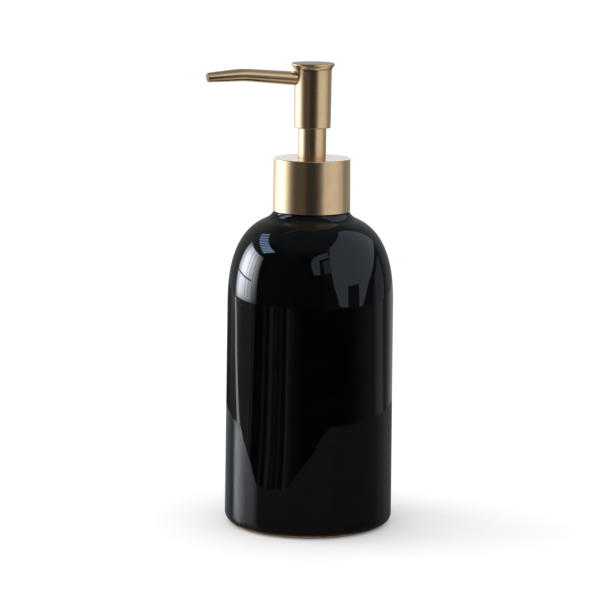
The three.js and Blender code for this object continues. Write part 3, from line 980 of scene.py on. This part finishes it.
def camera():
    data = bpy.data.cameras.new("camera")
    data.lens = CAMERA_LENS
    data.sensor_width = 36.0
    data.clip_end = 50.0
    made = added("camera", data)

    def turn(degrees, axis):
        return Matrix.Rotation(math.radians(degrees), 4, axis)

    stand = Matrix.Translation((0, -CAMERA_DISTANCE, CAMERA_HEIGHT))
    aim = turn(CAMERA_YAW, "Z") @ turn(90 - CAMERA_PITCH, "X") @ turn(CAMERA_ROLL, "Z")
    made.matrix_world = turn(CAMERA_AZIMUTH, "Z") @ stand @ aim
    bpy.context.scene.camera = made


def direction(azimuth):
    """Level direction at an azimuth from the camera."""
    angle = math.radians(CAMERA_AZIMUTH + azimuth)
    return Vector((math.sin(angle), -math.cos(angle), 0))


def shader_tree(kind, name):
    """An emptied node tree of a new material or world, with its data."""
    made = getattr(bpy.data, kind).new(name)
    made.use_nodes = True
    made.node_tree.nodes.clear()
    return made, made.node_tree


def glow(name, colour=None, clear=False):
    """Emission of one colour, or else of the mesh's own colours, seen through if clear."""
    made, tree = shader_tree("materials", name)
    made.cycles.emission_sampling = "NONE"
    if colour:
        tint = (*colour, 1)
    else:
        tint = add_node(tree, "Attribute", attribute_name="tint").outputs["Color"]
    result = add_node(tree, "Emission", {"Color": tint}).outputs[0]
    if clear:
        through = add_node(tree, "BsdfTransparent").outputs[0]
        result = add_node(tree, "AddShader", {0: result, 1: through}).outputs[0]
    add_node(tree, "OutputMaterial", {"Surface": result})
    return made


def plain(name, colour, roughness, specular):
    """A Principled material of one colour."""
    made = bpy.data.materials.new(name)
    made.use_nodes = True
    inputs = made.node_tree.nodes["Principled BSDF"].inputs
    inputs["Base Color"].default_value = (*colour, 1)
    inputs["Roughness"].default_value = roughness
    inputs["Specular IOR Level"].default_value = specular
    return made


def group_of(name, members):
    made = bpy.data.collections.new(name)
    for member in members:
        made.objects.link(member)
    return made


GOLD = [node for node, slot in SLOT_OF.items() if slot == "satin_gold"]
gold_pieces = group_of("gold_pieces", [pieces[node] for node in GOLD])
others = [pieces[node] for node in PIECES if node not in GOLD]
mirrors = group_of("mirrors", others)
other_pieces = group_of("other_pieces", others)  # the near table top joins it


def stage_mesh(name, vertices, faces, material, lit=other_pieces):
    """A mesh of light that some pieces reflect and that shows nowhere else."""
    mesh = bpy.data.meshes.new(name)
    mesh.from_pydata(vertices, [], faces)
    mesh.materials.append(material)
    made = added(name, mesh)
    made.light_linking.receiver_collection = lit
    for ray in ("camera", "shadow", "transmission", "diffuse"):
        setattr(made, "visible_" + ray, False)
    return made


def strip_faces(columns, rows):
    """Quads of a grid whose vertices come column by column."""
    corners = [
        (column * rows + row, (column + 1) * rows + row)
        for column in range(columns - 1)
        for row in range(rows - 1)
    ]
    return [(a, a + 1, b + 1, b) for a, b in corners]


def on_wall(distance, elevation):
    """Place at an azimuth, on an upright wall round the bottle."""
    height = SIGHT_Z + distance * math.tan(math.radians(elevation))
    return lambda azimuth: direction(azimuth) * distance + Vector((0, 0, height))


def card(name, distance, stations, colour, lit=other_pieces):
    """A lit card round the bottle, from (azimuth, low and high elevation) stations."""
    vertices = []
    for azimuth, *edges in stations:
        vertices += [on_wall(distance, elevation)(azimuth) for elevation in edges]
    faces = strip_faces(len(stations), 2)
    return stage_mesh(name, vertices, faces, glow(name, colour), lit)


def between(stations, azimuth):
    """The values at an azimuth, straight between the stations on either side."""
    if azimuth <= stations[0][0]:
        return stations[0][1:]
    for (start, *low), (end, *high) in zip(stations, stations[1:]):
        if azimuth <= end:
            share = (azimuth - start) / (end - start)
            return [a + (b - a) * share for a, b in zip(low, high)]
    return stations[-1][1:]


def painted(name, rows, lit, start=-180, end=180, clear=False):
    """A lit surface through rows round the bottle.

    Each row is its place at any azimuth and its stations: (azimuth, level, coolness), or
    (azimuth, level) where the light is neutral.
    """
    columns = end - start + 1
    rows = [(place, [(*station, 0.0)[:3] for station in stations]) for place, stations in rows]
    vertices, colours = [], []
    for azimuth in range(start, end + 1):
        for place, stations in rows:
            vertices.append(place(azimuth))
            level, coolness = between(stations, azimuth)
            colours.append((level, level * (1 + 0.12 * coolness), level * (1 + 0.3 * coolness), 1))
    faces = strip_faces(columns, len(rows))
    made = stage_mesh(name, vertices, faces, glow(name, clear=clear), lit)
    layer = made.data.color_attributes.new("tint", "FLOAT_COLOR", "POINT")
    for item, colour in zip(layer.data, colours):
        item.color = colour


WINDOW_WALL, PANEL_WALL = 1.2, 1.5  # distances from the bottle's axis
WINDOW = {  # elevation: (azimuth, level, coolness) stations
    -9: [(-126, 0.3, 0.5), (-116, 1.1, 0.5), (-97, 0.8, 0.5), (-86, 0.2, 0.5), (-79, 0.1)],
    -5.5: [(-126, 1.0, 0.5), (-117, 8.7, 0.5), (-97, 5.2, 0.5), (-86, 1.4, 0.5), (-79, 0.4)],
    6: [(-126, 1.5, 0.5), (-119, 8.5, 0.5), (-106, 14.0, 0.6), (-88, 4.6, 0.6), (-79, 0.7)],
    16: [(-126, 2.0, 0.5), (-112, 12.5, 0.6), (-97, 11.0, 0.6), (-86, 4.0, 0.5), (-79, 0.2)],
    25: [(-126, 0.4, 0.8), (-118, 3.5, 0.8), (-104, 7.0, 0.8), (-88, 2.5, 0.8), (-79, 0.1)],
}
WINDOW_BARS = [-119, -103, -96, -89]
WINDOW_CROSSBAR = [-126, -115, -103, -91]


def window():
    """A bright window, dimmer towards its edges, with thin dark bars before it."""
    rows = [(on_wall(WINDOW_WALL, elevation), stations) for elevation, stations in WINDOW.items()]
    painted("window", rows, mirrors, start=-126, end=-79)
    dark, distance, half_width = (0.8, 0.9, 1.0), WINDOW_WALL - 0.01, 0.4
    for azimuth in WINDOW_BARS:
        sides = [(azimuth + offset, -6, 25) for offset in (-half_width, half_width)]
        card("window_bar", distance, sides, dark)
    card("window_bar", distance, [(azimuth, 1.8, 2.8) for azimuth in WINDOW_CROSSBAR], dark)


def louvre():
    """Bright slanted slats above the window."""
    slats, thick = 12, 1.6
    for i in range(slats):
        start, low = -86 - 3.9 * i, 29 + 0.65 * i
        end, high = start + 18 - 0.8 * i, low + 8 + 0.25 * i
        stations = [(start, low, low + thick), (end, high, high + thick)]
        card("louvre_slat", WINDOW_WALL, stations, (3.6, 5.4, 8.4))


def panels():
    """Pale wall panels to the right, a seam along their foot, and a frame further left."""
    pale, cool, dim = (0.57, 0.68, 0.82), (0.48, 0.58, 0.70), (0.28, 0.33, 0.39)
    left = [(31, 14, 30), (33, 5, 38), (40, -6, 52), (45, -7, 55), (53, -7, 57)]
    notch = [(53, 4.6, 57), (70.6, 4.3, 61)]
    right = [(70.6, -9, 61), (77, -7, 62), (89, 3, 63), (114, 15.4, 63)]
    right += [(127, 19, 62), (137, 21, 52)]
    for stations in (left, notch, right):
        card("panel", PANEL_WALL, stations, pale, mirrors)
    side = [(102, -12, 4), (119, -12, 11), (123, -8, 13)]
    card("side_panel", PANEL_WALL, side, (0.24, 0.26, 0.29), mirrors)
    seam = [(84, -12, -1), (90, -9, 4), (102, 4, 9.5), (114, 10, 15.4), (127, 14, 19)]
    card("panel_seam", PANEL_WALL, seam, (0.05, 0.05, 0.055), mirrors)
    card("far_frame", PANEL_WALL, [(1, 25, 34), (5, 17, 39), (14, 17, 43)], cool)
    card("far_frame", PANEL_WALL, [(14, 35, 43), (32, 38, 46)], cool)
    card("far_frame", PANEL_WALL, [(20, 18, 33), (31, 18, 35)], dim)


def back_panel(level, coolness, lit):
    """Pale wall behind the bottle, in the tone that one group of pieces mirrors."""
    low, high = 9, 26
    stations = [(0, level, coolness)]
    rows = [(on_wall(PANEL_WALL, elevation), stations) for elevation in (low, high)]
    painted("back_panel", rows, lit, start=150, end=210, clear=True)


# Dark table top: light of its far part, all round and by radius behind the bottle
TABLE_FAR = [
    (-108, 0.16), (-91, 0.17), (-88, 0.22), (-85, 0.10), (-82, 0.18), (-80, 0.015), (-67, 0.02),
    (-65, 0.09), (-62, 0.08), (-60, 0.01), (-57, 0.04), (-54, 0.19), (-51, 0.14), (-49, 0.03),
    (-47, 0.08), (-44, 0.05), (-42, 0.03), (-39, 0.10), (-36, 0.03), (-32, 0.03), (-30, 0.24),
    (-28, 0.12), (-24, 0.07), (-20, 0.04), (-13, 0.03), (-10, 0.012), (55, 0.012), (70, 0.06),
    (88, 0.11), (96, 0.09), (99, 0.19, 0.3), (108, 0.30, 0.5), (116, 0.30, 0.5), (119, 0.10),
    (127, 0.11), (132, 0.22, -0.4), (150, 0.50, -0.5), (180, 0.30),
]
TABLE_BACK = {
    0.11: [(-180, 0.06), (-147, 0.0), (-131, 0.0), (-118, 0.08)],
    0.87: [(-180, 0.15), (-155, 0.12), (-145, 0.08), (-134, 0.35), (-115, 0.40)],
}
TABLE_NEAR = [  # (azimuth, radius) of the rim of the near part
    (-180, 0.27), (-123, 0.25), (-103, 0.245), (-92, 0.205), (-82, 0.178), (-66, 0.127),
    (-50, 0.122), (-25, 0.13), (-15, 0.16), (5, 0.21), (15, 0.247), (27, 0.275), (84, 0.275),
]
TABLE_LIGHT = [  # what the near part mirrors
    (-180, 0.0), (-160, 0.4), (-142, 0.3), (-131, 0.1), (-126, 0.5, 0.5), (-123, 3.5, 0.5),
    (-119, 6.8, 0.5), (-113, 8.5, 0.5), (-107, 7.0, 0.5), (-101, 5.2, 0.5), (-97, 3.5, 0.5),
    (-88, 3.3, 0.5), (-80, 2.5, 0.3), (-72, 0.0), (105, 0.0), (115, 0.2), (135, 0.2), (145, 0.0),
    (180, 0.0),
]
TABLE_STREAK = [(-109, 0.235), (-102, 0.235), (-123, 0.80), (-127, 0.80)]  # as TABLE_NEAR


def table_top():
    """Dark table top that only reflections see: glossy near the bottle, uneven further off."""
    rows = [
        (lambda azimuth, radius=radius: direction(azimuth) * radius, back + TABLE_FAR)
        for radius, back in TABLE_BACK.items()
    ]
    painted("table_far", rows, other_pieces)
    lift = Vector((0, 0, 0.0005))
    streak = [direction(azimuth) * radius + lift for azimuth, radius in TABLE_STREAK]
    stage_mesh("table_streak", streak, [range(len(streak))], glow("streak", (2.0, 2.15, 2.15)))
    azimuths = range(-180, 180, 3)
    rim = [direction(a) * between(TABLE_NEAR, a)[0] + lift * 2 for a in azimuths]
    gloss = plain("table_near", (0.13, 0.127, 0.124), 0.1, 0.17)
    centre = len(rim)
    fan = [(i, (i + 1) % centre, centre) for i in range(centre)]
    near = stage_mesh("table_near", [*rim, lift * 2], fan, gloss)
    other_pieces.objects.link(near)
    rows = [(on_wall(1.1, elevation), TABLE_LIGHT) for elevation in (-6, 25)]
    painted("table_light", rows, group_of("table", [near]), clear=True)


# Light that the gold alone reflects, at a few elevations
GOLD_LEVEL = [
    (-180, 0.1), (-158, 0.55, 0.2), (-140, 0.8, 0.5), (-126, 1.4, 1.0), (-112, 1.85, 1.6),
    (-92, 1.8, 1.6), (-84, 1.4, 1.0), (-78, 1.0, 0.5), (-70, 0.5), (-61, 0.12), (-50, 0.035),
    (-22, 0.045), (-12, 0.005), (8, 0.005), (20, 0.04), (29, 0.15), (39, 0.64, 0.1),
    (78, 0.68, 0.1), (94, 0.52), (107, 0.32), (126, 0.2), (150, 0.1), (180, 0.1),
]
GOLD_HIGH = [
    (-180, 0.1), (-140, 0.3, 0.3), (-110, 0.6, 0.3), (-80, 0.3, 0.3), (-55, 0.05), (5, 0.05),
    (16, 0.85, 0.2), (120, 0.65, 0.3), (150, 0.2), (180, 0.1),
]
GOLD_ROOM = {
    -90: [(0, 0.12)],
    -66: [(-70, 0.4), (-50, 0.2), (15, 0.2), (35, 0.36)],
    -48: [(-90, 0.5), (-60, 0.1), (13, 0.08), (26, 0.55)],
    -30: [(-90, 0.5), (-62, 0.04), (25, 0.03), (34, 0.2)],
    -17: GOLD_LEVEL,
    12: GOLD_LEVEL,
    22: GOLD_HIGH,
    42: GOLD_HIGH,
    56: [(-60, 0.15), (20, 0.1), (40, 0.4, 0.1), (120, 0.4, 0.1)],
    72: [(0, 0.15)],
    90: [(0, 0.08)],
}


def gold_room():
    """A clear shell round the pump whose light only the gold reflects."""
    reach, lowest = 0.6, 0.004
    eye = Vector((0, 0, 0.17))

    def on_shell(elevation):
        rise = math.sin(math.radians(elevation))
        distance = min(reach, (eye.z - lowest) / -rise) if rise < 0 else reach
        level = distance * math.cos(math.radians(elevation))
        height = Vector((0, 0, eye.z + distance * rise))
        return lambda azimuth: direction(azimuth) * level + height

    rows = [(on_shell(elevation), stations) for elevation, stations in GOLD_ROOM.items()]
    painted("gold_room", rows, gold_pieces, clear=True)


def floor():
    """Wide pale floor, left out of reflections."""
    reach = 20.0
    mesh = bpy.data.meshes.new("floor")
    corners = [(-reach, -reach, 0), (reach, -reach, 0), (reach, reach, 0), (-reach, reach, 0)]
    mesh.from_pydata(corners, [], [(0, 1, 2, 3)])
    mesh.materials.append(plain("floor", (0.96, 0.96, 0.96), 0.9, 0.0))
    made = added("floor", mesh)
    made.visible_glossy = False


def soft_light():
    """A large soft light from the upper left, for the floor and the plastic pieces."""
    data = bpy.data.lights.new("soft_light", "AREA")
    data.shape = "RECTANGLE"
    data.size, data.size_y = 1.0, 1.0
    data.energy = 6.0
    made = added("soft_light", data)
    made.location = direction(-100) * 1.3 + Vector((0, 0, 1.3))
    aim = Vector((0, 0, SIGHT_Z)) - made.location
    made.rotation_euler = aim.to_track_quat("-Z", "Y").to_euler()
    made.visible_camera = False
    made.visible_glossy = False


SURROUNDINGS = [  # (azimuth, red, green, blue) of the room
    (-180, 0.26, 0.28, 0.30), (-158, 0.20, 0.21, 0.21), (-120, 0.19, 0.20, 0.20),
    (-94, 0.15, 0.15, 0.15), (-82, 0.03, 0.03, 0.03), (-70, 0.045, 0.042, 0.040),
    (-60, 0.052, 0.048, 0.045), (-26, 0.048, 0.044, 0.042), (-18, 0.030, 0.030, 0.030),
    (12, 0.028, 0.029, 0.030), (30, 0.06, 0.06, 0.06), (80, 0.08, 0.08, 0.08),
    (95, 0.06, 0.06, 0.06), (105, 0.19, 0.20, 0.21), (120, 0.18, 0.19, 0.20),
    (124, 0.08, 0.08, 0.08), (130, 0.08, 0.08, 0.08), (136, 0.18, 0.18, 0.18),
    (154, 0.20, 0.22, 0.24), (180, 0.26, 0.28, 0.30),
]


def surroundings():
    """White to the camera, soft white to matt surfaces, and a dim room to reflections."""
    world, tree = shader_tree("worlds", "surroundings")
    bpy.context.scene.world = world
    world.cycles.sampling_method = "NONE"

    def node(kind, *values, **settings):
        return add_node(tree, kind, dict(enumerate(values)), **settings).outputs

    def mix(share, first, second):
        colours = {0: share, 6: first, 7: second}
        return add_node(tree, "Mix", colours, data_type="RGBA").outputs[2]

    facing = node("TexCoord")["Generated"]
    to_camera = {0: facing, "Angle": math.radians(-CAMERA_AZIMUTH)}
    turned_by = add_node(tree, "VectorRotate", to_camera, rotation_type="Z_AXIS")
    parts = node("SeparateXYZ", turned_by.outputs[0])
    ahead = node("Math", parts[1], -1.0, operation="MULTIPLY")[0]
    around = node("Math", parts[0], ahead, operation="ARCTAN2")[0]
    share = node("Math", around, 1 / TURN, 0.5, operation="MULTIPLY_ADD")[0]
    ramp = add_node(tree, "ValToRGB", {0: share})
    stops = ramp.color_ramp.elements
    while len(stops) < len(SURROUNDINGS):
        stops.new(0.5)
    for stop, (azimuth, *colour) in zip(stops, SURROUNDINGS):
        stop.position = (azimuth + 180) / 360
        stop.color = (*colour, 1)
    above = node("MapRange", parts[2], 0.6, 0.85, 0.0, 1.0)[0]
    ceiling = (0.10, 0.115, 0.13, 1)
    room = mix(above, ramp.outputs[0], ceiling)
    rays = node("LightPath")
    seen = mix(rays["Is Glossy Ray"], (1.08, 1.08, 1.08, 1), room)
    seen = mix(rays["Is Camera Ray"], seen, (1.0, 1.0, 1.0, 1))
    background = node("Background", seen)
    add_node(tree, "OutputWorld", {"Surface": background[0]})


camera()
floor()
table_top()
window()
louvre()
panels()
crown = [pieces["head_cap"], pieces["head_shell"]]
below = [piece for piece in gold_pieces.objects if piece not in crown]
back_panel(0.34, 0.9, other_pieces)
back_panel(0.82, -0.6, group_of("crown", crown))
back_panel(0.91, 1.6, group_of("below_crown", below))
gold_room()
soft_light()
surroundings()
bpy.context.scene.view_settings.view_transform = "Standard"
